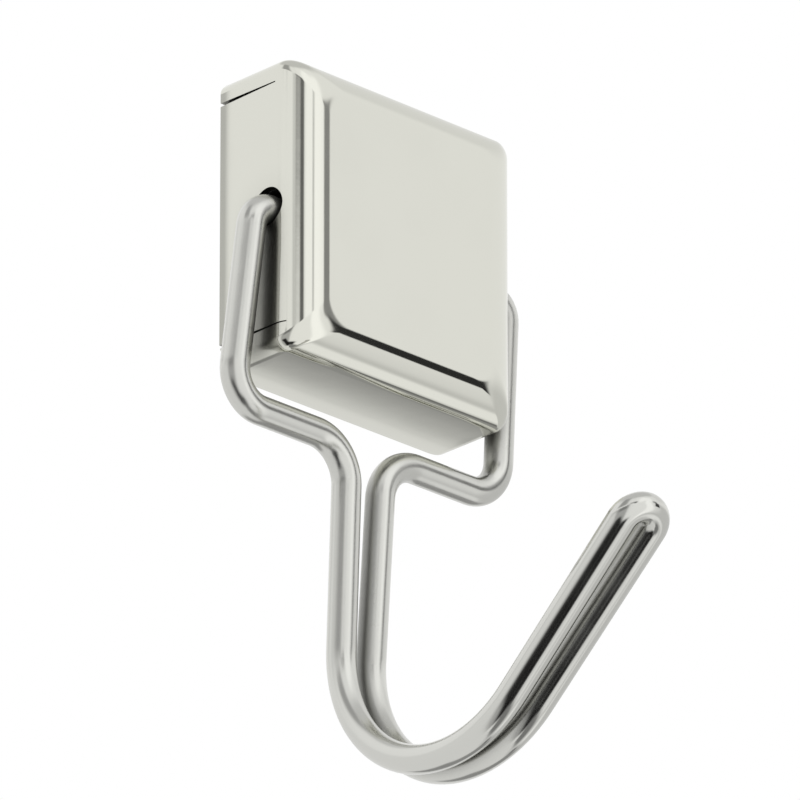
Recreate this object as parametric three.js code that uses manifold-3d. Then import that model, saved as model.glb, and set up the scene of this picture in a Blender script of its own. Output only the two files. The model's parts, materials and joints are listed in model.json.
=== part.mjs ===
// Magnetic wall hook: a pressed steel cover over a magnet stack, with one bent wire that swings in its sides.
// Millimetres. X is the width, +Y points at the wall, +Z is up. The origin is the centre of the wall face

import * as THREE from 'three';
import * as BufferGeometryUtils from 'three/addons/utils/BufferGeometryUtils.js';
import Module from 'manifold-3d';

const wasm = await Module();
wasm.setup();

// Cover: outside size and sheet. Quarter ellipses round its front edge, wider at the sides than at the ends
const coverWidth = 39.1;
const coverHeight = 40;
const coverDepth = 14.4;
const sheet = 0.8;
const sideEdgeInset = 5.5;
const endEdgeInset = 4.25;
const edgeDepth = 4.1;
const sideCornerRadius = 1.7;
const faceCornerRadius = 3.6;

// Cover: roundings of its rim, at the top in side view and at the lower corners in plan
const upperRimRadius = 1.3;
const lowerRimRadius = 2.8;

// Cover: how far its rim stays off the wall
const rimSetback = 0.3;

// Cover: the seams in each side wall, where the folded flanges meet it
const upperFlange = 3.15;
const lowerFlange = 3.5;
const seamMouth = 0.5;
const seamTip = 0.16;
const upperSeamLength = 10;
const lowerSeamLength = 11.8;

// Pivot: a hole in each side wall, at half the cover's height
const pivotHoleRadius = 2.6;
const pivotFromWall = 8.95;

// Wire hook: stock and bend radii, on the centre line
const wireDiameter = 3.8;
const elbowRadius = 2.9;
const shoulderCornerRadius = 4.8;
const stemTopRadius = 5.8;
const throatRadius = 18.2;

// Wire hook: lie of each stretch
const sideGap = 0.45;
const legSplay = 1.2;
const legSetback = 2.7;
const shoulderClearance = 4.65;
const restInHole = 0.4;
const stemLength = 71;
const stemLean = THREE.MathUtils.degToRad(3.2);
const armLength = 69.4;
const armRise = THREE.MathUtils.degToRad(41.45);
const stemHalfSpacing = 3;
const throatHalfSpacing = 1.9;
const tipHalfSpacing = 2.55;

// Magnet stack: two blocks between three pole plates, as high as the grip pad lets it be
const magnetDepth = 6.2;
const poleThickness = 2.5;
const poleDepth = 6.8;
const stackGap = 0.1;

// Holder: moulded block that fills the cover and takes the stack and the wire's ends
const holderClearance = 0.25;
const socketDepth = 3.4;
const socketWall = 0.9;
const wireEndGap = 0.4;

// Grip pad: rubber sheet on the back of the holder
const padThickness = 0.6;
const padMargin = 1.4;
const padCornerRadius = 2;
const padBorder = 3.35;
const windowClearance = 0.25;
const glueLine = 0.05;

// Steps in each round stretch, and one overrun for every cut
const wireSides = 14;
const roundSegments = 32;
const edgeSteps = 6;
const cornerSteps = 6;
const elbowSteps = 6;
const cornerBendSteps = 7;
const throatSteps = 16;
const tipSteps = 6;
const overrun = 2;

// Distances under which two points count as one: in a wire's centre line, and in a solid's skin
const samePlace = 0.05;
const weldTolerance = 1e-5;

// Sizes worked out from the ones above
const wireRadius = wireDiameter / 2;
const halfWidth = coverWidth / 2;
const halfHeight = coverHeight / 2;
const frontY = -rimSetback - coverDepth;
const innerHalfWidth = halfWidth - sheet;
const innerHalfHeight = halfHeight - sheet;
const pivotY = -pivotFromWall;
const pivotZ = -restInHole;
const holderHalfWidth = innerHalfWidth - holderClearance;
const holderHalfHeight = innerHalfHeight - holderClearance;
const holderBackY = -padThickness - glueLine;
const stackHalfWidth = holderHalfWidth - socketDepth - socketWall;
const padHalfWidth = holderHalfWidth - padMargin;
const padHalfHeight = holderHalfHeight - padMargin;
const windowHalfHeight = poleThickness / 2 + windowClearance;
const polePitch = padHalfHeight - padBorder - windowHalfHeight;
const magnetHeight = polePitch - poleThickness - 2 * stackGap;

// Turns a closed geometry into a solid for cutting and joining
function toSolid(geometry) {
  const bare = geometry.index ? geometry.toNonIndexed() : geometry.clone();
  bare.deleteAttribute('normal');
  bare.deleteAttribute('uv');
  const merged = BufferGeometryUtils.mergeVertices(bare, weldTolerance);
  const mesh = new wasm.Mesh({
    numProp: 3,
    vertProperties: new Float32Array(merged.attributes.position.array),
    triVerts: new Uint32Array(merged.index.array),
  });
  return new wasm.Manifold(mesh);
}

// Turns a solid back into a geometry
function toGeometry(solid) {
  const mesh = solid.getMesh();
  const geometry = new THREE.BufferGeometry();
  geometry.setAttribute('position', new THREE.BufferAttribute(new Float32Array(mesh.vertProperties), 3));
  geometry.setIndex(new THREE.BufferAttribute(new Uint32Array(mesh.triVerts), 1));
  geometry.computeVertexNormals();
  return geometry;
}

// Names a geometry and gives it its own material
function namedMesh(name, geometry, colour, roughness, metalness) {
  const material = new THREE.MeshStandardMaterial({ color: colour, roughness, metalness });
  const mesh = new THREE.Mesh(geometry, material);
  mesh.name = name;
  return mesh;
}

// Box between two corners
function boxSolid(low, high) {
  const size = new THREE.Vector3().subVectors(high, low);
  const centre = new THREE.Vector3().addVectors(low, high).multiplyScalar(0.5);
  const geometry = new THREE.BoxGeometry(size.x, size.y, size.z);
  geometry.translate(centre.x, centre.y, centre.z);
  return toSolid(geometry);
}

// Points of a rectangle with rounded corners in the XZ plane at one depth, the same count for any size
function roundedSection(halfX, halfZ, radius, y) {
  const corners = [[1, 1], [-1, 1], [-1, -1], [1, -1]];
  const points = [];
  corners.forEach(([signX, signZ], quarter) => {
    for (let step = 0; step <= cornerSteps; step += 1) {
      const angle = (quarter + step / cornerSteps) * Math.PI / 2;
      const x = signX * (halfX - radius) + radius * Math.cos(angle);
      const z = signZ * (halfZ - radius) + radius * Math.sin(angle);
      points.push(new THREE.Vector3(x, y, z));
    }
  });
  return points;
}

// Skin through a row of sections, closed by flat caps. The sections run from the front to the back
function loft(sections) {
  const count = sections[0].length;
  const positions = sections.flatMap((section) => section.flatMap((point) => point.toArray()));
  const indices = [];
  for (let row = 0; row + 1 < sections.length; row += 1) {
    for (let column = 0; column < count; column += 1) {
      const next = (column + 1) % count;
      const here = row * count;
      const there = here + count;
      indices.push(here + column, there + column, here + next);
      indices.push(here + next, there + column, there + next);
    }
  }
  const last = (sections.length - 1) * count;
  const flat = sections[0].map((point) => new THREE.Vector2(point.x, point.z));
  THREE.ShapeUtils.triangulateShape(flat, []).forEach(([a, b, c]) => {
    indices.push(a, b, c);
    indices.push(last + a, last + c, last + b);
  });
  const geometry = new THREE.BufferGeometry();
  geometry.setAttribute('position', new THREE.Float32BufferAttribute(positions, 3));
  geometry.setIndex(indices);
  return toSolid(geometry);
}

// Pillow block: flat front with a rounded edge all round, straight sides behind it.
// The allowance is how far the whole block lies inside the cover's outer surface
function pillowBlock(front, back, allowance) {
  const halfX = halfWidth - allowance;
  const halfZ = halfHeight - allowance;
  const sideWide = sideEdgeInset - allowance;
  const endWide = endEdgeInset - allowance;
  const deep = edgeDepth - allowance;
  const sideCorner = sideCornerRadius - allowance;
  const faceCorner = faceCornerRadius - allowance;
  const sections = [];
  for (let step = 0; step <= edgeSteps; step += 1) {
    const angle = step / edgeSteps * Math.PI / 2;
    const narrowing = 1 - Math.sin(angle);
    const x = halfX - sideWide * narrowing;
    const z = halfZ - endWide * narrowing;
    const corner = sideCorner + (faceCorner - sideCorner) * narrowing;
    sections.push(roundedSection(x, z, corner, front + deep * (1 - Math.cos(angle))));
  }
  sections.push(roundedSection(halfX, halfZ, sideCorner, back));
  return loft(sections);
}

// Outline of a rectangle with rounded corners
function outline(low, high, radius) {
  const shape = new THREE.Shape();
  shape.moveTo(low.x + radius, low.y);
  shape.lineTo(high.x - radius, low.y);
  shape.absarc(high.x - radius, low.y + radius, radius, -Math.PI / 2, 0);
  shape.lineTo(high.x, high.y - radius);
  shape.absarc(high.x - radius, high.y - radius, radius, 0, Math.PI / 2);
  shape.lineTo(low.x + radius, high.y);
  shape.absarc(low.x + radius, high.y - radius, radius, Math.PI / 2, Math.PI);
  shape.lineTo(low.x, low.y + radius);
  shape.absarc(low.x + radius, low.y + radius, radius, Math.PI, Math.PI * 3 / 2);
  return shape;
}

// Flat plate from an outline in the XZ plane, between two depths
function plateBetween(shape, front, back) {
  const geometry = new THREE.ExtrudeGeometry(shape, {
    depth: back - front,
    bevelEnabled: false,
    curveSegments: cornerSteps,
  });
  geometry.rotateX(Math.PI / 2);
  geometry.translate(0, back, 0);
  return geometry;
}

// Round bar along X between two places on the pivot hole's axis
function pivotBore(fromX, toX) {
  const length = toX - fromX;
  const bore = new THREE.CylinderGeometry(pivotHoleRadius, pivotHoleRadius, length, roundSegments);
  bore.rotateZ(Math.PI / 2);
  bore.translate((fromX + toX) / 2, pivotY, 0);
  return toSolid(bore);
}

// Narrow wedge through one side wall: open at the rim, closing towards the front
function seamCut(side, height, length) {
  const rim = -rimSetback;
  const shape = new THREE.Shape();
  shape.moveTo(rim + overrun, height - seamMouth / 2);
  shape.lineTo(rim + overrun, height + seamMouth / 2);
  shape.lineTo(rim, height + seamMouth / 2);
  shape.lineTo(rim - length, height + seamTip / 2);
  shape.lineTo(rim - length, height - seamTip / 2);
  shape.lineTo(rim, height - seamMouth / 2);
  const through = sheet + 2 * overrun;
  const geometry = new THREE.ExtrudeGeometry(shape, { depth: through, bevelEnabled: false });
  const toSide = new THREE.Matrix4().makeBasis(
    new THREE.Vector3(0, 1, 0),
    new THREE.Vector3(0, 0, 1),
    new THREE.Vector3(1, 0, 0),
  );
  geometry.applyMatrix4(toSide);
  geometry.translate(side > 0 ? innerHalfWidth - overrun : -halfWidth - overrun, 0, 0);
  return toSolid(geometry);
}

// Block that rounds the rim: along the top in side view, and at the two lower corners in plan.
// The lower rounding fades out at the height of the lower seams
function rimTrim() {
  const front = frontY - overrun;
  const back = -rimSetback;
  const points = [];
  for (const side of [-1, 1]) {
    const wide = side * (halfWidth + overrun);
    points.push([wide, front, halfHeight]);
    points.push([wide, front, -halfHeight]);
    points.push([side * halfWidth, back, lowerFlange - halfHeight]);
    for (let step = 0; step <= cornerSteps; step += 1) {
      const angle = step / cornerSteps * Math.PI / 2;
      const short = 1 - Math.cos(angle);
      const long = 1 - Math.sin(angle);
      points.push([wide, back - upperRimRadius * short, halfHeight - upperRimRadius * long]);
      points.push([side * (halfWidth - lowerRimRadius * short), back - lowerRimRadius * long, -halfHeight]);
    }
  }
  return wasm.Manifold.hull(points);
}

// Cover: a pressed box of sheet steel, open to the wall
function makeCover() {
  const outside = pillowBlock(frontY, -rimSetback, 0);
  const inside = pillowBlock(frontY + sheet, overrun, sheet);
  let cover = outside.subtract(inside).intersect(rimTrim());
  cover = cover.subtract(pivotBore(-halfWidth - overrun, -innerHalfWidth + overrun));
  cover = cover.subtract(pivotBore(innerHalfWidth - overrun, halfWidth + overrun));
  for (const side of [-1, 1]) {
    cover = cover.subtract(seamCut(side, halfHeight - upperFlange, upperSeamLength));
    cover = cover.subtract(seamCut(side, lowerFlange - halfHeight, lowerSeamLength));
  }
  return namedMesh('cover', toGeometry(cover), 0xdfe0dd, 0.08, 1);
}

// Heights of the three pole plates and the two magnets between them
const poleCentres = [polePitch, 0, -polePitch];
const magnetCentres = [polePitch / 2, -polePitch / 2];

// Holder: moulded block with a pocket at the back for the stack and a blind socket in each side
function makeHolder() {
  const allowance = sheet + holderClearance;
  const block = pillowBlock(frontY + allowance, holderBackY, allowance);
  const pocketHalfWidth = stackHalfWidth + stackGap;
  const pocketHalfHeight = polePitch + poleThickness / 2 + stackGap;
  const pocket = boxSolid(
    new THREE.Vector3(-pocketHalfWidth, -poleDepth - stackGap, -pocketHalfHeight),
    new THREE.Vector3(pocketHalfWidth, overrun, pocketHalfHeight),
  );
  let holder = block.subtract(pocket);
  holder = holder.subtract(pivotBore(-halfWidth, socketDepth - holderHalfWidth));
  holder = holder.subtract(pivotBore(holderHalfWidth - socketDepth, halfWidth));
  return namedMesh('holder', toGeometry(holder), 0x1b1c1e, 0.5, 0);
}

// Pole plates: steel strips whose rear edges lie on the wall
function makePolePlate(name, height) {
  const geometry = new THREE.BoxGeometry(2 * stackHalfWidth, poleDepth, poleThickness);
  geometry.translate(0, -poleDepth / 2, height);
  return namedMesh(name, geometry, 0xb4b7ba, 0.35, 1);
}

// Magnets: ferrite blocks between the plates, behind the grip pad
function makeMagnet(name, height) {
  const geometry = new THREE.BoxGeometry(2 * stackHalfWidth, magnetDepth - padThickness, magnetHeight);
  geometry.translate(0, -padThickness - glueLine - (magnetDepth - padThickness) / 2, height);
  return namedMesh(name, geometry, 0x3a3b3d, 0.6, 0.1);
}

// Grip pad: thin rubber sheet with a window for each pole plate
function makeGripPad() {
  const low = new THREE.Vector2(-padHalfWidth, -padHalfHeight);
  const high = new THREE.Vector2(padHalfWidth, padHalfHeight);
  const shape = outline(low, high, padCornerRadius);
  const windowHalfWidth = stackHalfWidth + windowClearance;
  for (const height of poleCentres) {
    const slot = new THREE.Path();
    slot.moveTo(-windowHalfWidth, height - windowHalfHeight);
    slot.lineTo(-windowHalfWidth, height + windowHalfHeight);
    slot.lineTo(windowHalfWidth, height + windowHalfHeight);
    slot.lineTo(windowHalfWidth, height - windowHalfHeight);
    shape.holes.push(slot);
  }
  return namedMesh('grip_pad', plateBetween(shape, -padThickness, 0), 0x26272a, 0.9, 0);
}

// Centre line of a bent wire: straight stretches between vertices, with an arc at each inner vertex.
// Each station holds a point and the wire's direction there, so bends get their steps and straights need none
class BentWire extends THREE.Curve {
  constructor(vertices, radii, steps) {
    super();
    this.stations = [];
    const last = vertices.length - 1;
    const first = vertices[1].clone().sub(vertices[0]).normalize();
    this.stations.push({ point: vertices[0], direction: first });
    for (let index = 1; index < last; index += 1) {
      const corner = vertices[index];
      const incoming = corner.clone().sub(vertices[index - 1]).normalize();
      const outgoing = vertices[index + 1].clone().sub(corner).normalize();
      const turn = incoming.angleTo(outgoing);
      const radius = radii[index - 1];
      const start = corner.clone().addScaledVector(incoming, -radius * Math.tan(turn / 2));
      const inward = outgoing.clone().addScaledVector(incoming, -Math.cos(turn)).normalize();
      const centre = start.clone().addScaledVector(inward, radius);
      for (let step = 0; step <= steps[index - 1]; step += 1) {
        const angle = turn * step / steps[index - 1];
        const point = centre.clone().addScaledVector(inward, -radius * Math.cos(angle));
        point.addScaledVector(incoming, radius * Math.sin(angle));
        const direction = incoming.clone().multiplyScalar(Math.cos(angle));
        direction.addScaledVector(inward, Math.sin(angle));
        const before = this.stations[this.stations.length - 1].point;
        if (before.distanceTo(point) > samePlace) {
          this.stations.push({ point, direction });
        }
      }
    }
    const end = vertices[last].clone().sub(vertices[last - 1]).normalize();
    this.stations.push({ point: vertices[last], direction: end });
  }

  getPoint(t) {
    const place = t * (this.stations.length - 1);
    const index = Math.min(Math.floor(place), this.stations.length - 2);
    return this.stations[index].point.clone().lerp(this.stations[index + 1].point, place - index);
  }

  getTangent(t) {
    return this.stations[Math.round(t * (this.stations.length - 1))].direction.clone();
  }

  getUtoTmapping(u) {
    return u;
  }
}

// Wire hook: both ends turn into the sides, the legs run down to shoulders under the cover,
// and the two strands go down, round the throat and up to one hairpin tip
function makeHook() {
  const legX = halfWidth + sideGap + wireRadius;
  const footX = legX + legSplay;
  const endX = holderHalfWidth - socketDepth + wireEndGap;
  const shoulderY = pivotY + legSetback;
  const shoulderZ = -halfHeight - shoulderClearance - wireRadius;
  const throatY = shoulderY + stemLength * Math.sin(stemLean);
  const throatZ = shoulderZ - stemLength * Math.cos(stemLean);
  const tipY = throatY - (armLength + tipHalfSpacing) * Math.cos(armRise);
  const tipZ = throatZ + (armLength + tipHalfSpacing) * Math.sin(armRise);
  const leftHalf = [
    new THREE.Vector3(-endX, pivotY, pivotZ),
    new THREE.Vector3(-legX, pivotY, pivotZ),
    new THREE.Vector3(-footX, shoulderY, shoulderZ),
    new THREE.Vector3(-stemHalfSpacing, shoulderY, shoulderZ),
    new THREE.Vector3(-throatHalfSpacing, throatY, throatZ),
    new THREE.Vector3(-tipHalfSpacing, tipY, tipZ),
  ];
  const rightHalf = leftHalf.map((point) => new THREE.Vector3(-point.x, point.y, point.z)).reverse();
  const radii = [elbowRadius, shoulderCornerRadius, stemTopRadius, throatRadius, tipHalfSpacing];
  const steps = [elbowSteps, cornerBendSteps, cornerBendSteps, throatSteps, tipSteps];
  const path = new BentWire(
    [...leftHalf, ...rightHalf],
    [...radii, ...[...radii].reverse()],
    [...steps, ...[...steps].reverse()],
  );
  const section = new THREE.Shape();
  for (let side = 0; side < wireSides; side += 1) {
    const angle = side / wireSides * 2 * Math.PI;
    const x = wireRadius * Math.cos(angle);
    const y = wireRadius * Math.sin(angle);
    if (side === 0) {
      section.moveTo(x, y);
    } else {
      section.lineTo(x, y);
    }
  }
  const geometry = new THREE.ExtrudeGeometry(section, {
    steps: path.stations.length - 1,
    bevelEnabled: false,
    extrudePath: path,
  });
  return namedMesh('wire_hook', toGeometry(toSolid(geometry)), 0xd6d8d9, 0.1, 1);
}

const group = new THREE.Group();
group.add(makeCover());
group.add(makeHolder());
group.add(makePolePlate('pole_plate_upper', poleCentres[0]));
group.add(makePolePlate('pole_plate_middle', poleCentres[1]));
group.add(makePolePlate('pole_plate_lower', poleCentres[2]));
group.add(makeMagnet('magnet_upper', magnetCentres[0]));
group.add(makeMagnet('magnet_lower', magnetCentres[1]));
group.add(makeGripPad());
group.add(makeHook());

export default group;
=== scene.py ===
"""Magnetic wall hook: a bright plated cover over a magnet stack, and a bent wire that swings from it.

Everything is in metres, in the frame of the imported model: X across, +Y into the wall, +Z up.
"""

import json
import math

import bmesh
import bpy
import numpy as np
from bpy.props import FloatProperty, FloatVectorProperty, IntProperty, PointerProperty
from bpy.types import Node, NodeSocket, Operator, Panel, PropertyGroup
from mathutils import Matrix, Vector


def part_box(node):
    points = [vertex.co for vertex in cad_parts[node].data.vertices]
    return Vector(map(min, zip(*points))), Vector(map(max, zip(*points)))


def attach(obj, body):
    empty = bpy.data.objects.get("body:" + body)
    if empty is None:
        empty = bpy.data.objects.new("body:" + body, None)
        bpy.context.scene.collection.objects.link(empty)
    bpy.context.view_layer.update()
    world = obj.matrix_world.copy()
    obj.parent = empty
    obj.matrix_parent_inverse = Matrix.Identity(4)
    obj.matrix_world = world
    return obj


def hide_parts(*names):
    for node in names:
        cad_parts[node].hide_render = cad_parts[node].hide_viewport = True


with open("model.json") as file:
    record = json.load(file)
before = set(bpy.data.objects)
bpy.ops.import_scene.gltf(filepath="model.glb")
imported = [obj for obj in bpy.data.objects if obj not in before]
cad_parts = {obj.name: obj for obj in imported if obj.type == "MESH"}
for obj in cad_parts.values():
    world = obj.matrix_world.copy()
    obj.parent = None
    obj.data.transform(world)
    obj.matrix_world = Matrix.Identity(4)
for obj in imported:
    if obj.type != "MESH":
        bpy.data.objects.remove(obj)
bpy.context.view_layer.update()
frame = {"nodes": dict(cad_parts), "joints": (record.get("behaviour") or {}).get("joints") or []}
MM = 0.001

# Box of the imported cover, from which the finer one takes its outside sizes, and the hinge of the wire
cover_low, cover_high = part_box("cover")
swing = frame["joints"][0]

bl_info = {
    "name": "Magnetic Wall Hook",
    "version": (1, 0, 0),
    "blender": (4, 5, 0),
    "location": "View3D > Sidebar > Wall Hook",
    "description": "Builds a magnetic wall hook, its finishes and a photo studio",
    "category": "Object",
}


def linear(colour):
    """Turns an sRGB hex colour into the linear one that Blender works with."""
    channels = [int(colour[place:place + 2], 16) / 255 for place in (1, 3, 5)]
    bent = [c / 12.92 if c <= 0.04045 else ((c + 0.055) / 1.055) ** 2.4 for c in channels]
    return (*bent, 1.0)


def length(name, description, default):
    """Property for a length, written in millimetres."""
    return FloatProperty(
        name=name, description=description, default=default * MM, unit="LENGTH", precision=5)


def colour(name, description, default):
    """Property for a colour, written as sRGB hex."""
    return FloatVectorProperty(
        name=name, description=description, default=linear(default), subtype="COLOR", size=4, min=0, max=1)


def add(tree, kind, inputs=None, **settings):
    """Adds a node. Settings are its own options, and inputs take values or the sockets to link."""
    made = tree.nodes.new(kind)
    for name, value in settings.items():
        setattr(made, name, value)
    for key, value in (inputs or {}).items():
        if isinstance(value, Node):
            value = value.outputs[0]
        if isinstance(value, NodeSocket):
            tree.links.new(value, made.inputs[key])
        else:
            made.inputs[key].default_value = value
    return made


# Sizes and colours that a user would change


class CoverSizes(PropertyGroup):
    """Sizes of the pressed cover"""
    sheet: length("Sheet", "Thickness of the pressed sheet", 0.8)
    side_inset: length("Side rounding", "How far the rounding reaches in from each side", 5.5)
    end_inset: length("End rounding", "How far the rounding reaches in from the top and bottom", 4.25)
    depth: length("Rounding depth", "How far the rounding reaches back from the front", 4.1)
    side_corner: length("Side corner", "Radius of the corners between the walls", 1.7)
    face_corner: length("Face corner", "Radius of the corners of the flat front", 3.6)
    upper_rim: length("Upper rim", "Radius that rounds the top wall's rear end", 1.3)
    lower_rim: length("Lower rim", "Radius of the bottom wall's rear corners", 2.8)
    upper_flange: length("Upper flange", "Distance of the upper seam from the top", 3.15)
    lower_flange: length("Lower flange", "Distance of the lower seam from the bottom", 3.5)
    seam_mouth: length("Seam mouth", "Width of each seam at the rim", 0.5)
    seam_tip: length("Seam tip", "Width of each seam at its front end", 0.16)
    upper_seam: length("Upper seam", "Length of the upper seams", 10)
    lower_seam: length("Lower seam", "Length of the lower seams", 11.8)
    hole: length("Hole radius", "Radius of the hole that takes the wire", 2.6)
    broken_edge: length("Broken edge", "Rounding of the sheet's cut edges", 0.12)
    bow: FloatProperty(
        name="Wall bow", description="How far the walls' reflections turn on from the rounding to the rim",
        default=math.radians(3), subtype="ANGLE")
    rim_bow: FloatProperty(
        name="Rim bow", description="How much further they turn in the last millimetre before the rim",
        default=math.radians(7), subtype="ANGLE")


class WireSizes(PropertyGroup):
    """Sizes of the bent wire"""
    thickness: length("Thickness", "Diameter of the wire", 3.8)
    elbow: length("Elbow", "Bend radius at each pivot end", 2.9)
    shoulder: length("Shoulder", "Bend radius at each shoulder", 4.8)
    stem_top: length("Stem top", "Bend radius where the stem starts", 5.8)
    throat: length("Throat", "Bend radius of the hook's throat", 18.2)
    end_x: length("Pivot end", "Distance of the wire's ends from the middle", 15.5)
    leg_x: length("Leg", "Distance of the legs from the middle at the pivot", 21.9)
    foot_x: length("Foot", "Distance of the legs from the middle at the shoulders", 23.1)
    shoulder_y: length("Shoulder depth", "Place of the shoulders along Y", -6.25)
    shoulder_z: length("Shoulder height", "Place of the shoulders along Z", -26.55)
    stem: length("Stem length", "From the shoulders to the throat's corner", 71)
    arm: length("Arm length", "From the throat's corner to the middle of the tip", 69.4)
    stem_gap: length("Stem half gap", "Half the spacing of the strands at the stem's top", 3)
    throat_gap: length("Throat half gap", "Half the spacing of the strands at the throat", 1.9)
    tip_gap: length("Tip half gap", "Half the spacing of the strands at the tip", 2.55)
    lean: FloatProperty(
        name="Stem lean", description="How far the stem leans to the wall",
        default=math.radians(3.2), subtype="ANGLE")
    rise: FloatProperty(
        name="Arm rise", description="How steeply the arm rises",
        default=math.radians(41.45), subtype="ANGLE")
    sides: IntProperty(name="Sides", description="Flat sides round the wire", default=40, min=8)


class StackSizes(PropertyGroup):
    """Roundings of the pieces inside the cover"""
    holder_edge: length("Holder edge", "Rounding of the moulded holder's edges", 0.25)
    plate_edge: length("Plate edge", "Broken edge of the pole plates", 0.15)
    pad_edge: length("Pad edge", "Rounding of the rubber pad's edges", 0.18)


class Finishes(PropertyGroup):
    """Colours of the real materials"""
    cover: colour("Cover plating", "Warm bright nickel and chromium on the cover", "#DADAD1")
    wire: colour("Wire plating", "Bright nickel on the wire", "#D4D4CF")
    holder: colour("Holder", "Black moulded ABS", "#1B1C1E")
    pole: colour("Pole plate", "Plain ground steel", "#A9ABAC")
    magnet: colour("Magnet", "Sintered ferrite", "#3A3B3D")
    rubber: colour("Rubber", "Black rubber sheet", "#252628")
    bloom: colour("Bloom", "Dusty bloom on the rubber", "#3A3A3B")


class StudioSettings(PropertyGroup):
    """Floor and camera"""
    floor_colour: colour("Floor", "Pale paper floor", "#E2E2DF")
    floor_drop: FloatProperty(
        name="Floor drop", description="How far the floor lies below the wall face's centre",
        default=2.5, unit="LENGTH")
    distance: FloatProperty(
        name="Camera distance", description="From the camera to the hook", default=1.786, unit="LENGTH")
    azimuth: FloatProperty(
        name="Camera azimuth", description="Turn of the line of sight from +Y",
        default=math.radians(-43.892), subtype="ANGLE")
    elevation: FloatProperty(
        name="Camera elevation", description="Height of the camera seen from the hook",
        default=math.radians(-23.678), subtype="ANGLE")


# Cover: a flat front, a rounded edge all round, and straight walls behind it

# How finely the rounded edge and each corner are divided
EDGE_STEPS = 24
CORNER_STEPS = 14
# Rings of points on the straight walls, as shares of the way to the rim, where the reflections turn most
WALL_RINGS = (0.4, 0.7, 0.82, 0.88, 0.92, 0.96, 1)
# The higher this power of that share, the closer to the rim the rim's bow sets in
RIM_POWER = 10
# How far a cutting shape reaches past what it cuts
SPARE = 2 * MM
# Edges that turn more than this are rounded
SHARP = math.radians(35)


class Pillow:
    """Outer or inner skin of the cover, a given distance inside the outer one."""

    def __init__(self, sizes, inside):
        self.half_x = cover_high.x - inside
        self.half_z = cover_high.z - inside
        self.front = cover_low.y + inside
        self.side_inset = sizes.side_inset - inside
        self.end_inset = sizes.end_inset - inside
        self.depth = sizes.depth - inside
        self.bow = math.tan(sizes.bow)
        self.rim_bow = math.tan(sizes.rim_bow)
        self.side_corner = sizes.side_corner - inside
        self.face_corner = sizes.face_corner - inside

    def section(self, turn):
        """Half width, half height and corner radius where the edge has turned this far back."""
        narrowing = 1 - math.sin(turn)
        corner = self.side_corner + (self.face_corner - self.side_corner) * narrowing
        return self.half_x - self.side_inset * narrowing, self.half_z - self.end_inset * narrowing, corner

    def turn_at(self, y):
        """How far the edge has turned back at this depth."""
        return math.acos(max(0.0, min(1.0, 1 - (y - self.front) / self.depth)))

    def away(self, point):
        """Distance of a point outside its section, and the direction of it in that section."""
        half_x, half_z, corner = self.section(self.turn_at(point.y))
        over = Vector((abs(point.x) - half_x + corner, abs(point.z) - half_z + corner))
        if over.x > 0 and over.y > 0:
            direction = over.normalized()
            distance = over.length - corner
        elif over.x > over.y:
            direction, distance = Vector((1, 0)), over.x - corner
        else:
            direction, distance = Vector((0, 1)), over.y - corner
        return distance, direction

    def normal(self, point):
        """Outward direction of the skin at a point on it, turned on along the walls as their bow says."""
        turn = self.turn_at(point.y)
        direction = self.away(point)[1]
        growth = self.face_corner - self.side_corner
        lean = direction.x * (self.side_inset + growth) + direction.y * (self.end_inset + growth) - growth
        behind = max(0, point.y - self.front - self.depth) / (cover_high.y - self.front - self.depth)
        bow = self.bow * behind + self.rim_bow * behind ** RIM_POWER
        return Vector((
            math.copysign(direction.x, point.x) * math.sin(turn),
            bow - math.cos(turn) * lean / self.depth,
            math.copysign(direction.y, point.z) * math.sin(turn),
        )).normalized()

    def mesh(self, back):
        """Closed mesh of the skin, from its flat front to a flat back."""
        shape = bmesh.new()
        rings = []
        turns = [step / EDGE_STEPS * math.pi / 2 for step in range(EDGE_STEPS + 1)]
        levels = [(turn, self.front + self.depth * (1 - math.cos(turn))) for turn in turns]
        wall = self.front + self.depth
        levels += [(math.pi / 2, wall + (back - wall) * share) for share in WALL_RINGS]
        for turn, y in levels:
            half_x, half_z, corner = self.section(turn)
            ring = []
            for quarter, (sign_x, sign_z) in enumerate(((1, 1), (-1, 1), (-1, -1), (1, -1))):
                for step in range(CORNER_STEPS + 1):
                    angle = (quarter + step / CORNER_STEPS) * math.pi / 2
                    x = sign_x * (half_x - corner) + corner * math.cos(angle)
                    z = sign_z * (half_z - corner) + corner * math.sin(angle)
                    ring.append(shape.verts.new((x, y, z)))
            rings.append(ring)
        for ahead, behind in zip(rings, rings[1:]):
            for place, vertex in enumerate(ahead):
                after = (place + 1) % len(ahead)
                shape.faces.new((vertex, ahead[after], behind[after], behind[place]))
        shape.faces.new(rings[0])
        shape.faces.new(rings[-1])
        return closed_mesh(shape)


def plain_mesh(shape, name="shape"):
    """Turns a bmesh into a mesh."""
    mesh = bpy.data.meshes.new(name)
    shape.to_mesh(mesh)
    shape.free()
    return mesh


def closed_mesh(shape):
    """Turns a closed bmesh into a mesh whose faces point outwards."""
    bmesh.ops.recalc_face_normals(shape, faces=shape.faces)
    return plain_mesh(shape)


def linked(name, data):
    """Object of this name in the scene."""
    made = bpy.data.objects.new(name, data)
    bpy.context.scene.collection.objects.link(made)
    return made


def settled(piece):
    """Turns what the piece's modifiers make into its own plain mesh."""
    graph = bpy.context.evaluated_depsgraph_get()
    mesh = bpy.data.meshes.new_from_object(piece.evaluated_get(graph), depsgraph=graph)
    piece.modifiers.clear()
    piece.data = mesh
    return piece


def cut(piece, tool, operation="DIFFERENCE"):
    """Cuts a piece with a mesh and keeps the result."""
    cutter = linked("cutter", tool)
    modifier = piece.modifiers.new("cut", "BOOLEAN")
    modifier.object = cutter
    modifier.operation = operation
    modifier.solver = "EXACT"
    settled(piece)
    bpy.data.objects.remove(cutter)


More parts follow.
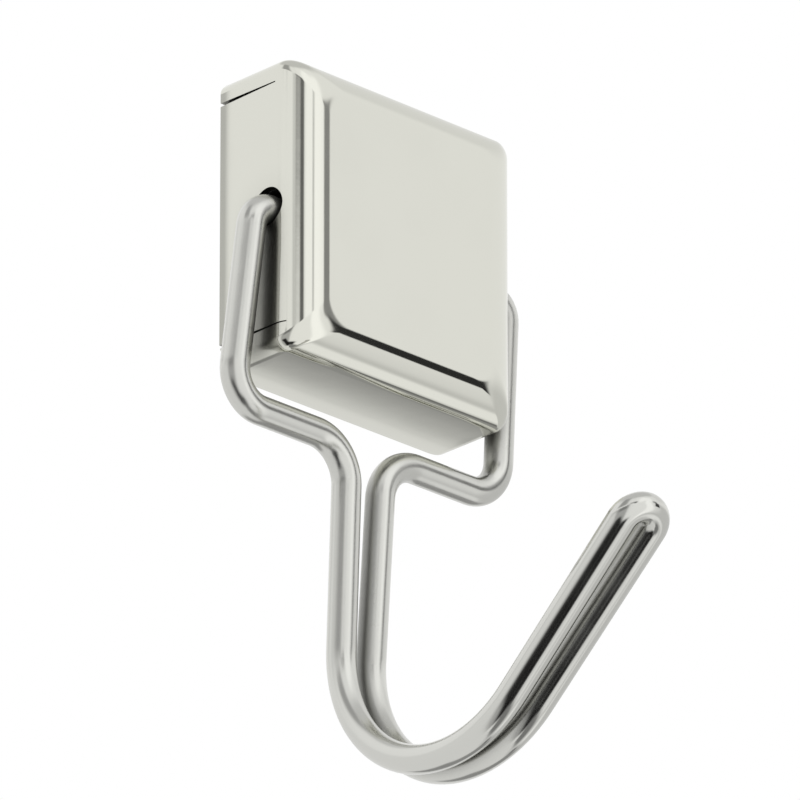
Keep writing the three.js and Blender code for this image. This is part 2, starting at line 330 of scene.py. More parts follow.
def hull(points):
    """Closed mesh round a cloud of points."""
    flat = math.radians(0.05)
    shape = bmesh.new()
    for point in points:
        shape.verts.new(point)
    found = bmesh.ops.convex_hull(shape, input=shape.verts)
    loose = {item for item in found["geom_interior"] if isinstance(item, bmesh.types.BMVert)}
    bmesh.ops.delete(shape, geom=list(loose), context="VERTS")
    bmesh.ops.dissolve_limit(shape, angle_limit=flat, verts=shape.verts, edges=shape.edges)
    return closed_mesh(shape)


def rim_block(sizes, steps=10):
    """Block that rounds the rim: along the top in side view, and at the two lower corners in plan."""
    front, back = cover_low.y - SPARE, cover_high.y
    top, bottom, half_x = cover_high.z, cover_low.z, cover_high.x
    points = []
    for side in (-1, 1):
        wide = side * (half_x + SPARE)
        points += [(wide, front, top), (wide, front, bottom)]
        points.append((side * half_x, back, bottom + sizes.lower_flange))
        for step in range(steps + 1):
            angle = step / steps * math.pi / 2
            short, long = 1 - math.cos(angle), 1 - math.sin(angle)
            points.append((wide, back - sizes.upper_rim * short, top - sizes.upper_rim * long))
            narrow = side * (half_x - sizes.lower_rim * short)
            points.append((narrow, back - sizes.lower_rim * long, bottom))
    return hull(points)


def seam_wedge(sizes, side, height, seam_length):
    """Narrow wedge through one side wall, open at the rim."""
    back = cover_high.y
    outline = [
        (back + SPARE, sizes.seam_mouth / 2),
        (back, sizes.seam_mouth / 2),
        (back - seam_length, sizes.seam_tip / 2),
        (back - seam_length, -sizes.seam_tip / 2),
        (back, -sizes.seam_mouth / 2),
        (back + SPARE, -sizes.seam_mouth / 2),
    ]
    middle = side * (cover_high.x - sizes.sheet / 2)
    reach = sizes.sheet / 2 + MM
    shape = bmesh.new()
    ends = []
    for x in (middle - reach, middle + reach):
        ends.append([shape.verts.new((x, y, height + z)) for y, z in outline])
    for place in range(len(outline)):
        after = (place + 1) % len(outline)
        shape.faces.new((ends[0][place], ends[0][after], ends[1][after], ends[1][place]))
    shape.faces.new(ends[0])
    shape.faces.new(ends[1])
    return closed_mesh(shape)


def pivot_bar(radius, from_x, to_x, sides=96):
    """Round bar along X at the pivot holes' height."""
    shape = bmesh.new()
    place = Matrix.Translation(((from_x + to_x) / 2, swing["pos_m"][1], 0))
    bmesh.ops.create_cone(
        shape, cap_ends=True, segments=sides, radius1=radius, radius2=radius, depth=abs(to_x - from_x),
        matrix=place @ Matrix.Rotation(math.pi / 2, 4, "Y"))
    return closed_mesh(shape)


def true_skin(piece, skin, tolerance=0.002 * MM):
    """Gives the faces on a skin its own directions, so that reflections run over them unbroken."""
    mesh = piece.data
    directions = np.zeros(len(mesh.loops) * 3, np.float32)
    mesh.corner_normals.foreach_get("vector", directions)
    directions = directions.reshape(-1, 3)
    for polygon in mesh.polygons:
        places = [mesh.vertices[vertex].co for vertex in polygon.vertices]
        flat_front = all(abs(place.y - skin.front) < tolerance for place in places)
        if flat_front:
            directions[list(polygon.loop_indices)] = (0, -1, 0)
        elif all(abs(skin.away(place)[0]) < tolerance for place in places):
            for loop, place in zip(polygon.loop_indices, places):
                directions[loop] = skin.normal(place)
    mesh.normals_split_custom_set(directions)


def bevelled(piece, width, segments=3):
    """Rounds the sharp edges of a piece."""
    modifier = piece.modifiers.new("edges", "BEVEL")
    modifier.width = width
    modifier.segments = segments
    modifier.limit_method = "ANGLE"
    modifier.angle_limit = SHARP
    modifier.harden_normals = True
    piece.data.shade_smooth()
    return settled(piece)


def finish(piece, material, body, node):
    """Gives a piece its material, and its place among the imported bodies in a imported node's stead."""
    piece.data.materials.clear()
    piece.data.materials.append(material)
    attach(piece, body)
    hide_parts(node)


class HOOK_OT_cover(Operator):
    """Press the cover from plated sheet, with its holes and seams"""
    bl_idname = "wall_hook.cover"
    bl_label = "Cover"

    def execute(self, context):
        sizes = context.scene.hook_cover
        outside = Pillow(sizes, 0)
        inside = Pillow(sizes, sizes.sheet)
        piece = linked("cover_shell", outside.mesh(cover_high.y))
        cut(piece, inside.mesh(cover_high.y + MM))
        cut(piece, rim_block(sizes), "INTERSECT")
        for side in (-1, 1):
            from_x, to_x = side * (cover_high.x - SPARE), side * (cover_high.x + SPARE)
            cut(piece, pivot_bar(sizes.hole, from_x, to_x))
            cut(piece, seam_wedge(sizes, side, cover_high.z - sizes.upper_flange, sizes.upper_seam))
            cut(piece, seam_wedge(sizes, side, cover_low.z + sizes.lower_flange, sizes.lower_seam))
        piece = bevelled(piece, sizes.broken_edge)
        true_skin(piece, outside)
        finish(piece, plated_sheet(context.scene.hook_finishes), "magnet_body", "cover")
        return {"FINISHED"}


# Wire: one line of corners, each with its own bend radius, swept by a round section

# Points on each bend's arc, and the spacing of the sections along the wire
BEND_POINTS = 64
WIRE_STEP = 0.35 * MM


def wire_corners(sizes):
    """Corners of the wire's centre line from one end to the other, each with its bend radius."""
    pivot_y, pivot_z = swing["pos_m"][1:]
    throat_y = sizes.shoulder_y + sizes.stem * math.sin(sizes.lean)
    throat_z = sizes.shoulder_z - sizes.stem * math.cos(sizes.lean)
    reach = sizes.arm + sizes.tip_gap
    tip_y = throat_y - reach * math.cos(sizes.rise)
    tip_z = throat_z + reach * math.sin(sizes.rise)
    left = [
        (-sizes.end_x, pivot_y, pivot_z, 0),
        (-sizes.leg_x, pivot_y, pivot_z, sizes.elbow),
        (-sizes.foot_x, sizes.shoulder_y, sizes.shoulder_z, sizes.shoulder),
        (-sizes.stem_gap, sizes.shoulder_y, sizes.shoulder_z, sizes.stem_top),
        (-sizes.throat_gap, throat_y, throat_z, sizes.throat),
        (-sizes.tip_gap, tip_y, tip_z, sizes.tip_gap),
    ]
    return left + [(-x, y, z, radius) for x, y, z, radius in reversed(left)]


def wire_tree(material):
    """Geometry nodes that bend the line at its corners and sweep the round section along it."""
    tree = bpy.data.node_groups.new("Bent wire", "GeometryNodeTree")
    sockets = (("Corners", "Geometry"), ("Radius", "Float"), ("Step", "Float"), ("Sides", "Int"))
    for name, kind in sockets:
        tree.interface.new_socket(name, in_out="INPUT", socket_type=f"NodeSocket{kind}")
    tree.interface.new_socket("Wire", in_out="OUTPUT", socket_type="NodeSocketGeometry")
    given = add(tree, "NodeGroupInput")
    line = add(tree, "GeometryNodeMeshToCurve", {"Mesh": given.outputs["Corners"]})
    bend = add(tree, "GeometryNodeInputNamedAttribute", {"Name": "bend_radius"}, data_type="FLOAT")
    bent = add(tree, "GeometryNodeFilletCurve", {
        "Curve": line, "Count": BEND_POINTS, "Radius": bend}, mode="POLY")
    stepped = add(tree, "GeometryNodeResampleCurve", {
        "Curve": bent, "Length": given.outputs["Step"]}, mode="LENGTH")
    along = add(tree, "GeometryNodeSplineParameter")
    measured = add(tree, "GeometryNodeStoreNamedAttribute", {
        "Geometry": stepped, "Name": "along", "Value": along.outputs["Length"]},
        data_type="FLOAT", domain="POINT")
    # The tip is the wire's middle, where the factor is a half
    past_tip = add(tree, "ShaderNodeMath", {0: along.outputs["Factor"], 1: 0.5}, operation="SUBTRACT")
    from_tip = add(tree, "ShaderNodeMath", {0: past_tip}, operation="ABSOLUTE")
    marked = add(tree, "GeometryNodeStoreNamedAttribute", {
        "Geometry": measured, "Name": "from_tip", "Value": from_tip}, data_type="FLOAT", domain="POINT")
    circle = add(tree, "GeometryNodeCurvePrimitiveCircle", {
        "Resolution": given.outputs["Sides"], "Radius": given.outputs["Radius"]})
    place = add(tree, "GeometryNodeInputPosition")
    section = add(tree, "GeometryNodeStoreNamedAttribute", {
        "Geometry": circle, "Name": "section", "Value": place}, data_type="FLOAT_VECTOR", domain="POINT")
    swept = add(tree, "GeometryNodeCurveToMesh", {
        "Curve": marked, "Profile Curve": section, "Fill Caps": True})
    real = add(tree, "GeometryNodeRealizeInstances", {"Geometry": swept})
    smooth = add(tree, "GeometryNodeSetShadeSmooth", {"Geometry": real})
    done = add(tree, "GeometryNodeSetMaterial", {"Geometry": smooth, "Material": material})
    add(tree, "NodeGroupOutput", {"Wire": done})
    return tree


def run_tree(piece, tree, values):
    """Runs a geometry node tree on a piece with these named inputs, and keeps the plain mesh."""
    modifier = piece.modifiers.new("build", "NODES")
    modifier.node_group = tree
    for item in tree.interface.items_tree:
        if item.item_type == "SOCKET" and item.name in values:
            modifier[item.identifier] = values[item.name]
    return settled(piece)


class HOOK_OT_wire(Operator):
    """Bend the wire hook from one length of plated wire"""
    bl_idname = "wall_hook.wire"
    bl_label = "Wire hook"

    def execute(self, context):
        sizes = context.scene.hook_wire
        corners = wire_corners(sizes)
        mesh = bpy.data.meshes.new("wire")
        edges = [(place, place + 1) for place in range(len(corners) - 1)]
        mesh.from_pydata([corner[:3] for corner in corners], edges, [])
        radii = mesh.attributes.new("bend_radius", "FLOAT", "POINT")
        radii.data.foreach_set("value", [corner[3] for corner in corners])
        material = plated_wire(context.scene.hook_finishes)
        piece = run_tree(linked("bent_wire", mesh), wire_tree(material), {
            "Radius": sizes.thickness / 2, "Step": WIRE_STEP, "Sides": sizes.sides})
        finish(piece, material, "hook", "wire_hook")
        return {"FINISHED"}


# Holder, pole plates and pad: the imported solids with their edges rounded. The magnets stay as packed


def rounded_copy(name, node, width):
    """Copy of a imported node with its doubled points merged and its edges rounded."""
    touching = 0.001 * MM
    flat = math.radians(1)
    shape = bmesh.new()
    shape.from_mesh(frame["nodes"][node].data)
    bmesh.ops.remove_doubles(shape, verts=shape.verts, dist=touching)
    bmesh.ops.dissolve_limit(shape, angle_limit=flat, verts=shape.verts, edges=shape.edges)
    return bevelled(linked(name, plain_mesh(shape, name)), width)


class HOOK_OT_holder(Operator):
    """Mould the black holder that fills the cover"""
    bl_idname = "wall_hook.holder"
    bl_label = "Holder"

    def execute(self, context):
        piece = rounded_copy("holder_block", "holder", context.scene.hook_stack.holder_edge)
        finish(piece, moulded_plastic(context.scene.hook_finishes), "magnet_body", "holder")
        return {"FINISHED"}


class HOOK_OT_plates(Operator):
    """Cut the three pole plates from ground strip"""
    bl_idname = "wall_hook.plates"
    bl_label = "Pole plates"

    def execute(self, context):
        steel = ground_steel(context.scene.hook_finishes)
        for place in ("upper", "middle", "lower"):
            node = f"pole_plate_{place}"
            piece = rounded_copy(f"pole_bar_{place}", node, context.scene.hook_stack.plate_edge)
            finish(piece, steel, "magnet_body", node)
        return {"FINISHED"}


class HOOK_OT_pad(Operator):
    """Lay the rubber grip pad on the holder's back"""
    bl_idname = "wall_hook.pad"
    bl_label = "Grip pad"

    def execute(self, context):
        piece = rounded_copy("rubber_pad", "grip_pad", context.scene.hook_stack.pad_edge)
        finish(piece, rubber_sheet(context.scene.hook_finishes), "magnet_body", "grip_pad")
        return {"FINISHED"}


class HOOK_OT_magnets(Operator):
    """Give the two packed magnets their ferrite"""
    bl_idname = "wall_hook.magnets"
    bl_label = "Magnets"

    def execute(self, context):
        ferrite = sintered_ferrite(context.scene.hook_finishes)
        for place in ("upper", "lower"):
            materials = frame["nodes"][f"magnet_{place}"].data.materials
            materials.clear()
            materials.append(ferrite)
        return {"FINISHED"}


# Finishes

# Share of its brightness that the plating keeps under full painted shade in its gaps, and how much rougher
# it gets there
PAINTED_SHADE_TONE = 0.25
PAINTED_SHADE_ROUGHNESS = 0.35
# How much rougher the satin wire is than where it is rubbed, and the share of the gaps' painted shade that
# it has there
SATIN = 0.11
RUBBED_PAINTED_SHADE = 0.6
# How many times as long as wide the die's lines are
DIE_LINE = 50


def blank(name):
    """New material with an empty tree."""
    material = bpy.data.materials.new(name)
    material.use_nodes = True
    material.node_tree.nodes.clear()
    return material, material.node_tree


def shaded(colour, share):
    """The colour at this share of its brightness."""
    return [channel * share for channel in colour[:3]] + [1]


def painted_gap_shade(tree, shade_share=1.0):
    """Share of painted shade, from 0 to 1, in the gaps where metal nearly touches metal.

    The second argument is the share of it that is painted.
    """
    # The gaps are half a millimetre to 5 mm wide
    # Ambient occlusion within this reach sets where the shade is painted into the base colour
    open_share = add(tree, "ShaderNodeAmbientOcclusion", {"Distance": 5 * MM}, samples=8)
    gap_shade = add(tree, "ShaderNodeMapRange", {
        "Value": open_share.outputs["AO"], "From Min": 0.25, "From Max": 0.95,
        "To Min": 1.0, "To Max": 0.0})
    return add(tree, "ShaderNodeMath", {0: gap_shade, 1: shade_share}, operation="MULTIPLY")


def plated(tree, plating, rough, normal, painted_shade):
    """Bright plating, darkened in its gaps by painted shade and made rougher there."""
    tone = add(tree, "ShaderNodeMix", {
        "Factor": painted_shade, "A": plating, "B": shaded(plating, PAINTED_SHADE_TONE)}, data_type="RGBA")
    dull = add(tree, "ShaderNodeMath", {0: painted_shade, 1: PAINTED_SHADE_ROUGHNESS, 2: rough}, operation="MULTIPLY_ADD")
    metal = add(tree, "ShaderNodeBsdfPrincipled", {
        "Base Color": tone.outputs[2], "Metallic": 1.0, "Roughness": dull, "Normal": normal})
    add(tree, "ShaderNodeOutputMaterial", {"Surface": metal})


def plated_sheet(finishes):
    """Pressed steel sheet, bright nickel and chromium plated.

    The eye gets clear, slightly wavy reflections with a warm cast, and a faint haze where it is handled.
    """
    material, tree = blank("Bright plated pressed steel")
    place = add(tree, "ShaderNodeTexCoord").outputs["Object"]
    # The drawn sheet is wavy every 3 mm or so, and its plating has a fine orange peel of 0.5 mm
    waves = add(tree, "ShaderNodeTexNoise", {"Vector": place, "Scale": 1 / (3 * MM), "Detail": 1.0})
    peel = add(tree, "ShaderNodeTexNoise", {"Vector": place, "Scale": 1 / (0.5 * MM), "Detail": 1.0})
    wavy = add(tree, "ShaderNodeBump", {"Height": waves, "Strength": 0.02, "Distance": 0.1 * MM})
    peeled = add(tree, "ShaderNodeBump", {
        "Height": peel, "Strength": 0.02, "Distance": 0.02 * MM, "Normal": wavy})
    # Hands leave their haze in patches of 9 mm
    haze = add(tree, "ShaderNodeTexNoise", {"Vector": place, "Scale": 1 / (9 * MM), "Detail": 4.0})
    rough = add(tree, "ShaderNodeMapRange", {
        "Value": haze, "From Min": 0.35, "From Max": 0.7, "To Min": 0.05, "To Max": 0.09})
    # The cover gets painted shade in its gaps, chiefly on the side walls beside the wire's legs
    plated(tree, finishes.cover, rough, peeled, painted_gap_shade(tree))
    return material


def plated_wire(finishes):
    """Cold drawn steel wire, bright nickel plated.

    The eye gets long streaks of light, softened by the die's fine lines along the wire. They are clear on
    the arm and in the throat, which hung handles rub bright, and satin on the stem and the legs.
    """
    material, tree = blank("Bright plated drawn wire")
    place = add(tree, "ShaderNodeTexCoord").outputs["Object"]
    along, section, from_tip = [
        add(tree, "ShaderNodeAttribute", attribute_name=name, attribute_type="GEOMETRY")
        for name in ("along", "section", "from_tip")]
    apart = add(tree, "ShaderNodeSeparateXYZ", {"Vector": section.outputs["Vector"]})
    stretched = add(tree, "ShaderNodeMath", {
        0: along.outputs["Fac"], 1: 1 / DIE_LINE}, operation="MULTIPLY")
    drawn = add(tree, "ShaderNodeCombineXYZ", {
        "X": apart.outputs["X"], "Y": apart.outputs["Y"], "Z": stretched})
    # Die lines are a few hundredths of a millimetre apart. These are 0.25 mm apart, to show at all
    lines = add(tree, "ShaderNodeTexNoise", {"Vector": drawn, "Scale": 1 / (0.25 * MM), "Detail": 2.0})
    scored = add(tree, "ShaderNodeBump", {"Height": lines, "Strength": 0.03, "Distance": 0.02 * MM})
    # It is rubbed unevenly, in patches of 6 mm
    patches = add(tree, "ShaderNodeTexNoise", {"Vector": place, "Scale": 1 / (6 * MM), "Detail": 4.0})
    rubbed = add(tree, "ShaderNodeMapRange", {
        "Value": patches, "From Min": 0.35, "From Max": 0.7, "To Min": 0.11, "To Max": 0.16})
    # The rubbing fades between the throat's bottom and the stem, 0.16 to 0.24 of the wire from its tip
    unworn = add(tree, "ShaderNodeMapRange", {
        "Value": from_tip.outputs["Fac"], "From Min": 0.16, "From Max": 0.24})
    rough = add(tree, "ShaderNodeMath", {0: unworn, 1: SATIN, 2: rubbed}, operation="MULTIPLY_ADD")
    # The painted shade between the strands is lighter on the arm and throat, at the rubbed share
    shade_share = add(tree, "ShaderNodeMapRange", {"Value": unworn, "To Min": RUBBED_PAINTED_SHADE, "To Max": 1.0})
    plated(tree, finishes.wire, rough, scored, painted_gap_shade(tree, shade_share))
    return material


def moulded_plastic(finishes):
    """ABS, injection moulded in a spark-eroded mould.

    The eye gets a satin black with a fine even grain.
    """
    material, tree = blank("Moulded black ABS")
    place = add(tree, "ShaderNodeTexCoord").outputs["Object"]
    # The mould's grain is about 0.05 mm, drawn 0.15 mm wide so that it shows
    grain = add(tree, "ShaderNodeTexNoise", {"Vector": place, "Scale": 1 / (0.15 * MM), "Detail": 3.0})
    grained = add(tree, "ShaderNodeBump", {"Height": grain, "Strength": 0.35, "Distance": 0.03 * MM})
    rough = add(tree, "ShaderNodeMapRange", {"Value": grain, "To Min": 0.38, "To Max": 0.56})
    plastic = add(tree, "ShaderNodeBsdfPrincipled", {
        "Base Color": finishes.holder, "Roughness": rough, "IOR": 1.54, "Normal": grained})
    add(tree, "ShaderNodeOutputMaterial", {"Surface": plastic})
    return material


def ground_steel(finishes):
    """Mild steel strip, ground on its edges and oiled.

    The eye gets fine lines along the strip and a few darker stains.
    """
    material, tree = blank("Ground mild steel")
    place = add(tree, "ShaderNodeTexCoord").outputs["Object"]
    # Grinding lines run along X, 0.08 mm apart and 8 mm long
    drawn = add(tree, "ShaderNodeMapping", {"Vector": place, "Scale": (0.01, 1, 1)})
    lines = add(tree, "ShaderNodeTexNoise", {"Vector": drawn, "Scale": 1 / (0.08 * MM), "Detail": 3.0})
    # The oil dries in patches of 4 mm
    stains = add(tree, "ShaderNodeTexNoise", {"Vector": place, "Scale": 1 / (4 * MM), "Detail": 5.0})
    oily = add(tree, "ShaderNodeMapRange", {"Value": stains, "From Min": 0.45, "From Max": 0.75})
    tone = add(tree, "ShaderNodeMix", {
        "Factor": oily, "A": finishes.pole, "B": shaded(finishes.pole, share=0.55)}, data_type="RGBA")
    ground = add(tree, "ShaderNodeBump", {"Height": lines, "Strength": 0.3, "Distance": 0.02 * MM})
    rough = add(tree, "ShaderNodeMapRange", {"Value": lines, "To Min": 0.25, "To Max": 0.45})
    metal = add(tree, "ShaderNodeBsdfPrincipled", {
        "Base Color": tone.outputs[2], "Metallic": 1.0, "Roughness": rough, "Normal": ground})
    add(tree, "ShaderNodeOutputMaterial", {"Surface": metal})
    return material


def sintered_ferrite(finishes):
    """Strontium ferrite, pressed and sintered.

    The eye gets a dull dark grey, speckled like stoneware.
    """
    material, tree = blank("Sintered ferrite")
    place = add(tree, "ShaderNodeTexCoord").outputs["Object"]
    # Pores and grains show as specks about 0.2 mm across
    pores = add(tree, "ShaderNodeTexVoronoi", {"Vector": place, "Scale": 1 / (0.2 * MM)})
    specks = pores.outputs["Distance"]
    tone = add(tree, "ShaderNodeMix", {
        "Factor": specks, "A": shaded(finishes.magnet, share=0.7), "B": finishes.magnet}, data_type="RGBA")
    pitted = add(tree, "ShaderNodeBump", {"Height": specks, "Strength": 0.4, "Distance": 0.03 * MM})
    ceramic = add(tree, "ShaderNodeBsdfPrincipled", {
        "Base Color": tone.outputs[2], "Roughness": 0.62, "IOR": 1.8, "Normal": pitted})
    add(tree, "ShaderNodeOutputMaterial", {"Surface": ceramic})
    return material


def rubber_sheet(finishes):
    """Nitrile rubber, calendered into sheet and die-cut.

    The eye gets a matt black with a faint cloth-like grain from the rollers and a dusty bloom.
    """
    material, tree = blank("Calendered rubber sheet")
    place = add(tree, "ShaderNodeTexCoord").outputs["Object"]
    # The rollers leave a grain of about 0.3 mm, and the bloom lies in patches of 7 mm
    grain = add(tree, "ShaderNodeTexNoise", {"Vector": place, "Scale": 1 / (0.3 * MM), "Detail": 4.0})
    bloom = add(tree, "ShaderNodeTexNoise", {"Vector": place, "Scale": 1 / (7 * MM), "Detail": 5.0})
    dusty = add(tree, "ShaderNodeMapRange", {
        "Value": bloom, "From Min": 0.4, "From Max": 0.8, "To Max": 0.5})
    tone = add(tree, "ShaderNodeMix", {
        "Factor": dusty, "A": finishes.rubber, "B": finishes.bloom}, data_type="RGBA")
    pebbled = add(tree, "ShaderNodeBump", {"Height": grain, "Strength": 0.5, "Distance": 0.05 * MM})
    rubber = add(tree, "ShaderNodeBsdfPrincipled", {
        "Base Color": tone.outputs[2], "Roughness": 0.78, "IOR": 1.52, "Normal": pebbled})
    add(tree, "ShaderNodeOutputMaterial", {"Surface": rubber})
    return material


# Studio

WHITE = (1, 1, 1, 1)
# Middle of the picture, fitted to the hook's outline in the photograph: a point on the hook, and how far
# to the right of it and above it the middle lies
AIM = Vector((0, -5.15, -41.6)) * MM
AIM_RIGHT = 5.15 * MM
AIM_UP = 20.44 * MM
# Width of the picture at the hook
PICTURE_WIDTH = 100 * MM
# Half the floor's width and the end of the camera's sight, in metres
FLOOR_HALF = 8
SIGHT_END = 50

PANEL_SIZES = (
    "Middle azimuth", "Middle height", "Lean", "Half width", "Half height", "Soft sides", "Soft ends")

# Panels and gaps on the studio's white walls and ceiling, whose strength is 1. Each has a name, the
# azimuth from +X and the height of its middle in degrees, how much it leans with height, its half width,
# its half height, the soft edges of its sides and ends, and its strength
PANELS = [
    ("Grey walls and floor", 60, -38, 0, 112, 55, 6, 5, 0.88),
    ("Grey wall on the left", 161, 18.5, 0, 19, 5, 3, 1.5, 0.72),
    ("Dim wall on the far left", 113, 24.6, 0, 11, 2.2, 3, 0.8, 0.6),
    ("Darker wall on the right", -6, -25, 0, 35, 42, 6, 8, 0.70),
    ("Dim ceiling", 0, 78, 0, 200, 20, 1, 7, 0.7),
    ("Top of the far wall", 5, 46, 0, 42, 12, 8, 6, 0.88),
    ("Soft box", -92, 0, 0, 30, 60, 5, 6, 1.03),
    ("Lamp in the soft box", -72, 0, -0.4, 9, 52, 4, 6, 1.25),
    ("Bright end of the soft box", -87, 34, 0, 22, 12, 4, 6, 1.22),
    ("Frame across the soft box", -89.5, 24.7, 0, 2.4, 1.6, 1.2, 0.8, 0.72),
    ("Floor under the cover", 46, -36, 0, 26, 14.4, 5, 3, 0.34),
    ("Lamp below right", -10, -49, 0, 20, 7, 8, 4, 1.04),
    ("Edge of the floor", 19, -47, 0, 4, 6, 2, 3, 0.2),
    ("Dim ceiling corner", -173, 40, 0, 20, 24, 9, 6, 0.42),
    ("Dim room behind the camera", -163, -25, 0, 25, 50, 7, 5, 0.5),
    ("Dark doorway", -160, 13, 0, 17, 8, 8, 1, 0.25),
    ("Dark table by the camera", -160, -40, -0.55, 13, 19, 6, 6, 0.02),
    ("Dark floor below the camera", -134, -61, 0, 33, 14, 10, 6, 0.015),
    ("Dark floor underneath", -60, -79, 0, 75, 14, 12, 6, 0.25),
    ("White strip beside the camera", -174, 25, 0, 26, 3.4, 5, 1.2, 1.02),
    ("Gap left of the soft box", -131, 27.6, 0, 8.5, 3.2, 2.5, 0.5, 0.34),
    ("Edge of that gap", -119, 26, 0, 5.5, 4.6, 3, 1.5, 0.16),
    ("Gap right of the soft box", -56, 22.5, -0.3, 7, 5, 2, 1.2, 0.3),
    ("Black card under the soft box", -50, 10, 0, 7, 9, 2, 1.4, 0.03),
]


def panel_group():
    """Node group that tells how much of a panel lies in a direction."""
    tree = bpy.data.node_groups.new("Studio panel", "ShaderNodeTree")
    for name in ("Azimuth", "Height", *PANEL_SIZES):
        tree.interface.new_socket(name, in_out="INPUT", socket_type="NodeSocketFloat")
    tree.interface.new_socket("Share", in_out="OUTPUT", socket_type="NodeSocketFloat")
    given = add(tree, "NodeGroupInput").outputs

    def share_of(off, half, soft):
        """How far inside the panel's edges a distance from its middle lies, from 0 to 1."""
        size = add(tree, "ShaderNodeMath", {0: off}, operation="ABSOLUTE")
        low = add(tree, "ShaderNodeMath", {0: given[half], 1: given[soft]}, operation="SUBTRACT")
        high = add(tree, "ShaderNodeMath", {0: given[half], 1: given[soft]}, operation="ADD")
        return add(tree, "ShaderNodeMapRange", {
            "Value": size, "From Min": low, "From Max": high, "To Min": 1.0, "To Max": 0.0},
            interpolation_type="SMOOTHSTEP")

    rise = add(tree, "ShaderNodeMath", {
        0: given["Height"], 1: given["Middle height"]}, operation="SUBTRACT")
    middle = add(tree, "ShaderNodeMath", {
        0: rise, 1: given["Lean"], 2: given["Middle azimuth"]}, operation="MULTIPLY_ADD")
    turn = add(tree, "ShaderNodeMath", {0: given["Azimuth"], 1: middle}, operation="SUBTRACT")
    wrapped = add(tree, "ShaderNodeMath", {0: turn, 1: -180.0, 2: 180.0}, operation="WRAP")
    across = share_of(wrapped, "Half width", "Soft sides")
    upright = share_of(rise, "Half height", "Soft ends")
    share = add(tree, "ShaderNodeMath", {0: across, 1: upright}, operation="MULTIPLY")
    add(tree, "NodeGroupOutput", {"Share": share})
    return tree


def studio_walls(scene):
    """World of white walls with panels and darker gaps. The camera sees plain white behind the object."""
    world = bpy.data.worlds.new("Photo studio")
    world.use_nodes = True
    scene.world = world
    tree = world.node_tree
    tree.nodes.clear()
    look = add(tree, "ShaderNodeTexCoord").outputs["Generated"]
    parts = add(tree, "ShaderNodeSeparateXYZ", {"Vector": look}).outputs
    turn = add(tree, "ShaderNodeMath", {0: parts["Y"], 1: parts["X"]}, operation="ARCTAN2")
    azimuth = add(tree, "ShaderNodeMath", {0: turn}, operation="DEGREES")
    steep = add(tree, "ShaderNodeMath", {0: parts["Z"]}, operation="ARCSINE")
    height = add(tree, "ShaderNodeMath", {0: steep}, operation="DEGREES")
    group = panel_group()
    level = 1.0
    for name, *sizes, strength in PANELS:
        share = add(tree, "ShaderNodeGroup", {
            "Azimuth": azimuth, "Height": height, **dict(zip(PANEL_SIZES, sizes))},
            label=name, node_tree=group)
        level = add(tree, "ShaderNodeMix", {
            "Factor": share, "A": level, "B": strength}, data_type="FLOAT")
    studio = add(tree, "ShaderNodeBackground", {"Color": WHITE, "Strength": level})
    plain = add(tree, "ShaderNodeBackground", {"Color": WHITE, "Strength": 1.0})
    seen = add(tree, "ShaderNodeLightPath").outputs["Is Camera Ray"]
    both = add(tree, "ShaderNodeMixShader", {0: seen, 1: studio, 2: plain})
    add(tree, "ShaderNodeOutputWorld", {"Surface": both})


def paper_floor(settings):
    """Pale seamless paper, which gives the eye an even matt ground with a faint fibre."""
    material, tree = blank("Pale seamless paper")
    place = add(tree, "ShaderNodeTexCoord").outputs["Object"]
    # The fibre shows as clouds of 4 mm
    fibre = add(tree, "ShaderNodeTexNoise", {"Vector": place, "Scale": 1 / (4 * MM), "Detail": 3.0})
    tone = add(tree, "ShaderNodeMix", {
        "Factor": fibre, "A": shaded(settings.floor_colour, share=0.97), "B": settings.floor_colour},
        data_type="RGBA")
    paper = add(tree, "ShaderNodeBsdfPrincipled", {"Base Color": tone.outputs[2], "Roughness": 0.9})
    add(tree, "ShaderNodeOutputMaterial", {"Surface": paper})
    return material


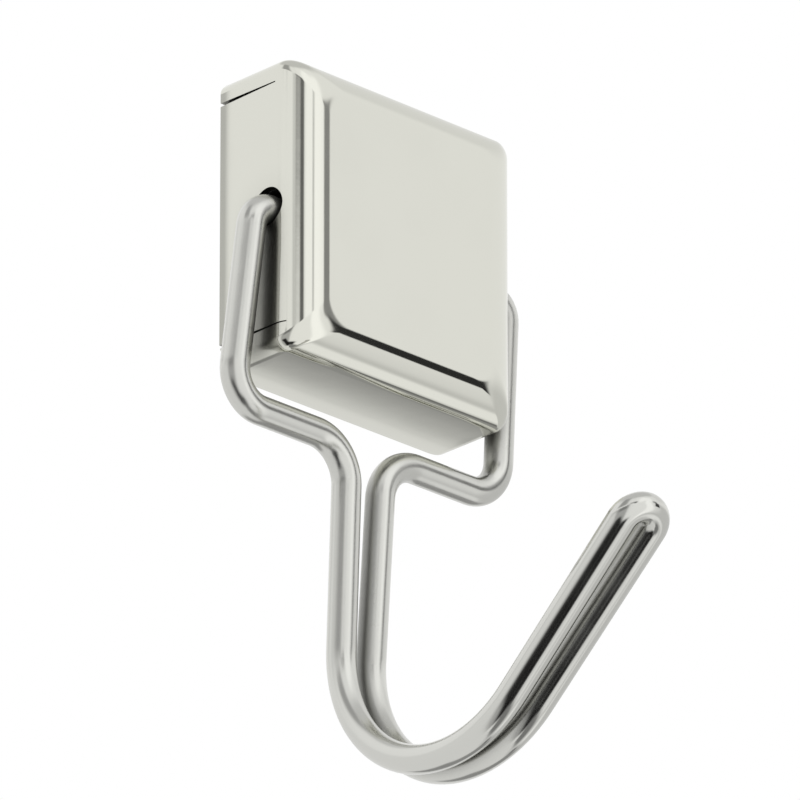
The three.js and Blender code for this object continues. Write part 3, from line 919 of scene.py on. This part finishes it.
class HOOK_OT_stage(Operator):
    """Lay the floor, set up the studio and aim the camera"""
    bl_idname = "wall_hook.stage"
    bl_label = "Studio"

    def execute(self, context):
        scene = context.scene
        settings = scene.hook_studio
        scene.view_settings.view_transform = "Standard"
        studio_walls(scene)
        shape = bmesh.new()
        lowered = Matrix.Translation((0, 0, -settings.floor_drop))
        bmesh.ops.create_grid(shape, x_segments=1, y_segments=1, size=FLOOR_HALF, matrix=lowered)
        floor = linked("paper_floor", plain_mesh(shape, "floor"))
        floor.data.materials.append(paper_floor(settings))
        # Bright metal mirrors the studio's panels from below too, so the floor leaves them in sight
        floor.visible_glossy = False
        turn, tilt = settings.azimuth, settings.elevation
        level = math.cos(tilt)
        sight = Vector((-math.sin(turn) * level, math.cos(turn) * level, -math.sin(tilt)))
        right = Vector((math.cos(turn), math.sin(turn), 0))
        up = right.cross(sight)
        middle = AIM + right * AIM_RIGHT + up * AIM_UP
        turned = Matrix((right, up, -sight)).transposed().to_4x4()
        camera = linked("camera", bpy.data.cameras.new("camera"))
        camera.matrix_world = Matrix.Translation(middle - sight * settings.distance) @ turned
        camera.data.lens = camera.data.sensor_width * settings.distance / PICTURE_WIDTH
        camera.data.clip_end = SIGHT_END
        scene.camera = camera
        return {"FINISHED"}


GROUPS = {
    "hook_cover": CoverSizes,
    "hook_wire": WireSizes,
    "hook_stack": StackSizes,
    "hook_finishes": Finishes,
    "hook_studio": StudioSettings,
}
# Steps that have their buttons under each group's settings
STEPS = {
    "hook_cover": ["wall_hook.cover"],
    "hook_wire": ["wall_hook.wire"],
    "hook_stack": ["wall_hook.holder", "wall_hook.plates", "wall_hook.pad", "wall_hook.magnets"],
    "hook_finishes": [],
    "hook_studio": ["wall_hook.stage"],
}


class HOOK_PT_panel(Panel):
    """Sidebar panel with the settings and a button for each step"""
    bl_label = "Magnetic Wall Hook"
    bl_idname = "HOOK_PT_panel"
    bl_space_type = "VIEW_3D"
    bl_region_type = "UI"
    bl_category = "Wall Hook"

    def draw(self, context):
        for group in GROUPS:
            box = self.layout.box()
            settings = getattr(context.scene, group)
            for name in settings.bl_rna.properties.keys():
                if name not in ("rna_type", "name"):
                    box.prop(settings, name)
            for step in STEPS[group]:
                box.operator(step)


CLASSES = (
    *GROUPS.values(), HOOK_OT_stage, HOOK_OT_cover, HOOK_OT_wire, HOOK_OT_holder, HOOK_OT_plates,
    HOOK_OT_pad, HOOK_OT_magnets, HOOK_PT_panel)


def register():
    """Registers the add-on and gives the scene its settings."""
    for kind in CLASSES:
        bpy.utils.register_class(kind)
    for name, group in GROUPS.items():
        setattr(bpy.types.Scene, name, PointerProperty(type=group))


def unregister():
    """Undoes what register does."""
    for name in GROUPS:
        delattr(bpy.types.Scene, name)
    for kind in reversed(CLASSES):
        bpy.utils.unregister_class(kind)


def main():
    """Builds the hook and its studio."""
    register()
    bpy.ops.wall_hook.stage()
    bpy.ops.wall_hook.cover()
    bpy.ops.wall_hook.wire()
    bpy.ops.wall_hook.holder()
    bpy.ops.wall_hook.plates()
    bpy.ops.wall_hook.pad()
    bpy.ops.wall_hook.magnets()


if __name__ == "__main__":
    main()
